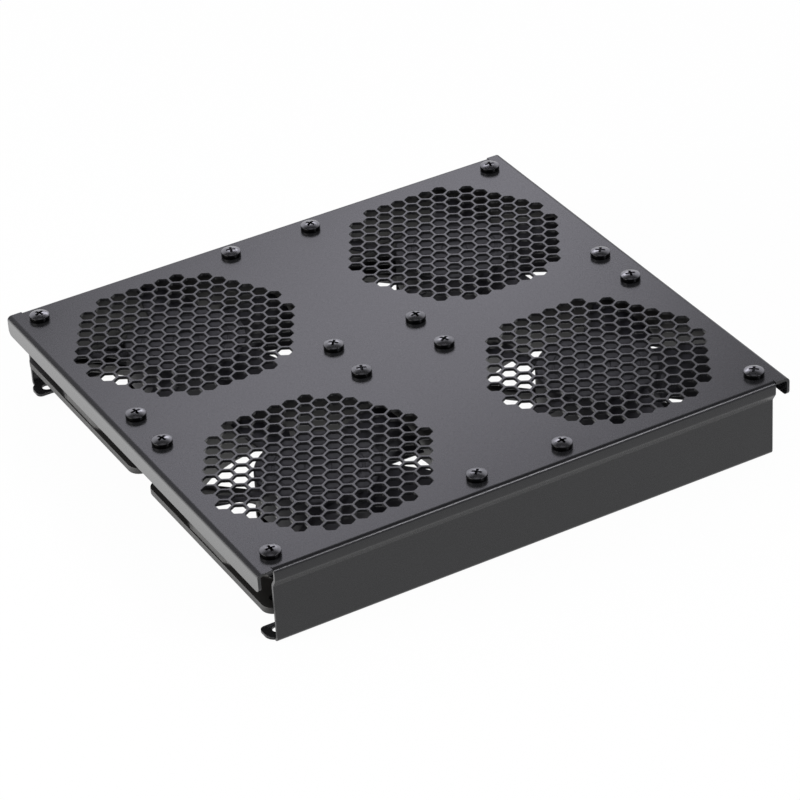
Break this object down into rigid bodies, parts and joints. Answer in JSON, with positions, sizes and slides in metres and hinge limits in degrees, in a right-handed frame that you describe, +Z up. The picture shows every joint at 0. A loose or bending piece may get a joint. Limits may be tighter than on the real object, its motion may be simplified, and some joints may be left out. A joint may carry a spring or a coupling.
{
  "type": "rack roof fan tray",
  "caption": "Folded steel roof tray for a server rack with axial fans under honeycomb grilles, return flanges to bolt it down and a rear power inlet.",
  "frame": {"origin": "on the surface that the return flanges stand on, at the middle of the tray", "axes": "+X along the front apron to the right, +Y to the back where the power inlet is, +Z up through the grilles"},
  "size_m": [0.28, 0.26, 0.0444],
  "materials": {
    "tray_coat": "dark grey satin powder coat",
    "frame_coat": "black satin enamel on die-cast aluminium",
    "impeller_plastic": "black moulded plastic",
    "rotor_steel": "plain",
    "bright_steel": "zinc plated",
    "copper_wire": "enamelled winding wire",
    "contact_brass": "plain",
    "screw_black": "black oxide, half gloss",
    "plug_plastic": "black moulded nylon",
    "inlet_plastic": "black moulded plastic",
    "lead_sheath": "black sheath",
    "earth_sheath": "green sheath with a yellow stripe"
  },
  "bodies": {
    "tray": {"tray": "tray_coat", "frame_back_left": "frame_coat", "bearings_back_left": "bright_steel", "stator_core_back_left": "rotor_steel", "stator_coils_back_left": "copper_wire", "terminals_back_left": "contact_brass", "plug_back_left": "plug_plastic", "lead_back_left": "lead_sheath", "frame_back_right": "frame_coat", "bearings_back_right": "bright_steel", "stator_core_back_right": "rotor_steel", "stator_coils_back_right": "copper_wire", "terminals_back_right": "contact_brass", "plug_back_right": "plug_plastic", "lead_back_right": "lead_sheath", "frame_front_left": "frame_coat", "bearings_front_left": "bright_steel", "stator_core_front_left": "rotor_steel", "stator_coils_front_left": "copper_wire", "terminals_front_left": "contact_brass", "plug_front_left": "plug_plastic", "lead_front_left": "lead_sheath", "frame_front_right": "frame_coat", "bearings_front_right": "bright_steel", "stator_core_front_right": "rotor_steel", "stator_coils_front_right": "copper_wire", "terminals_front_right": "contact_brass", "plug_front_right": "plug_plastic", "lead_front_right": "lead_sheath", "bearing_caps": "plug_plastic", "motor_wires": "lead_sheath", "fan_screws": "screw_black", "fan_washers": "bright_steel", "fan_nuts": "bright_steel", "lead_clip": "plug_plastic", "power_inlet": "inlet_plastic", "inlet_pins": "contact_brass", "inlet_boot": "inlet_plastic", "earth_stud": "bright_steel", "earth_nut": "bright_steel", "earth_lead": "earth_sheath"},
    "impeller_back_left": {"impeller_back_left": "impeller_plastic", "rotor_ring_back_left": "rotor_steel", "shaft_back_left": "bright_steel", "retaining_clip_back_left": "bright_steel"},
    "impeller_back_right": {"impeller_back_right": "impeller_plastic", "rotor_ring_back_right": "rotor_steel", "shaft_back_right": "bright_steel", "retaining_clip_back_right": "bright_steel"},
    "impeller_front_left": {"impeller_front_left": "impeller_plastic", "rotor_ring_front_left": "rotor_steel", "shaft_front_left": "bright_steel", "retaining_clip_front_left": "bright_steel"},
    "impeller_front_right": {"impeller_front_right": "impeller_plastic", "rotor_ring_front_right": "rotor_steel", "shaft_front_right": "bright_steel", "retaining_clip_front_right": "bright_steel"}
  },
  "joints": [
    {"name": "spin_back_left", "type": "hinge", "parent": "tray", "child": "impeller_back_left", "pos_m": [-0.075, 0.066, 0.0268], "axis": [0, 0, 1], "continuous": true},
    {"name": "spin_back_right", "type": "hinge", "parent": "tray", "child": "impeller_back_right", "pos_m": [0.075, 0.066, 0.0268], "axis": [0, 0, 1], "continuous": true},
    {"name": "spin_front_left", "type": "hinge", "parent": "tray", "child": "impeller_front_left", "pos_m": [-0.075, -0.066, 0.0268], "axis": [0, 0, 1], "continuous": true},
    {"name": "spin_front_right", "type": "hinge", "parent": "tray", "child": "impeller_front_right", "pos_m": [0.075, -0.066, 0.0268], "axis": [0, 0, 1], "continuous": true}
  ]
}
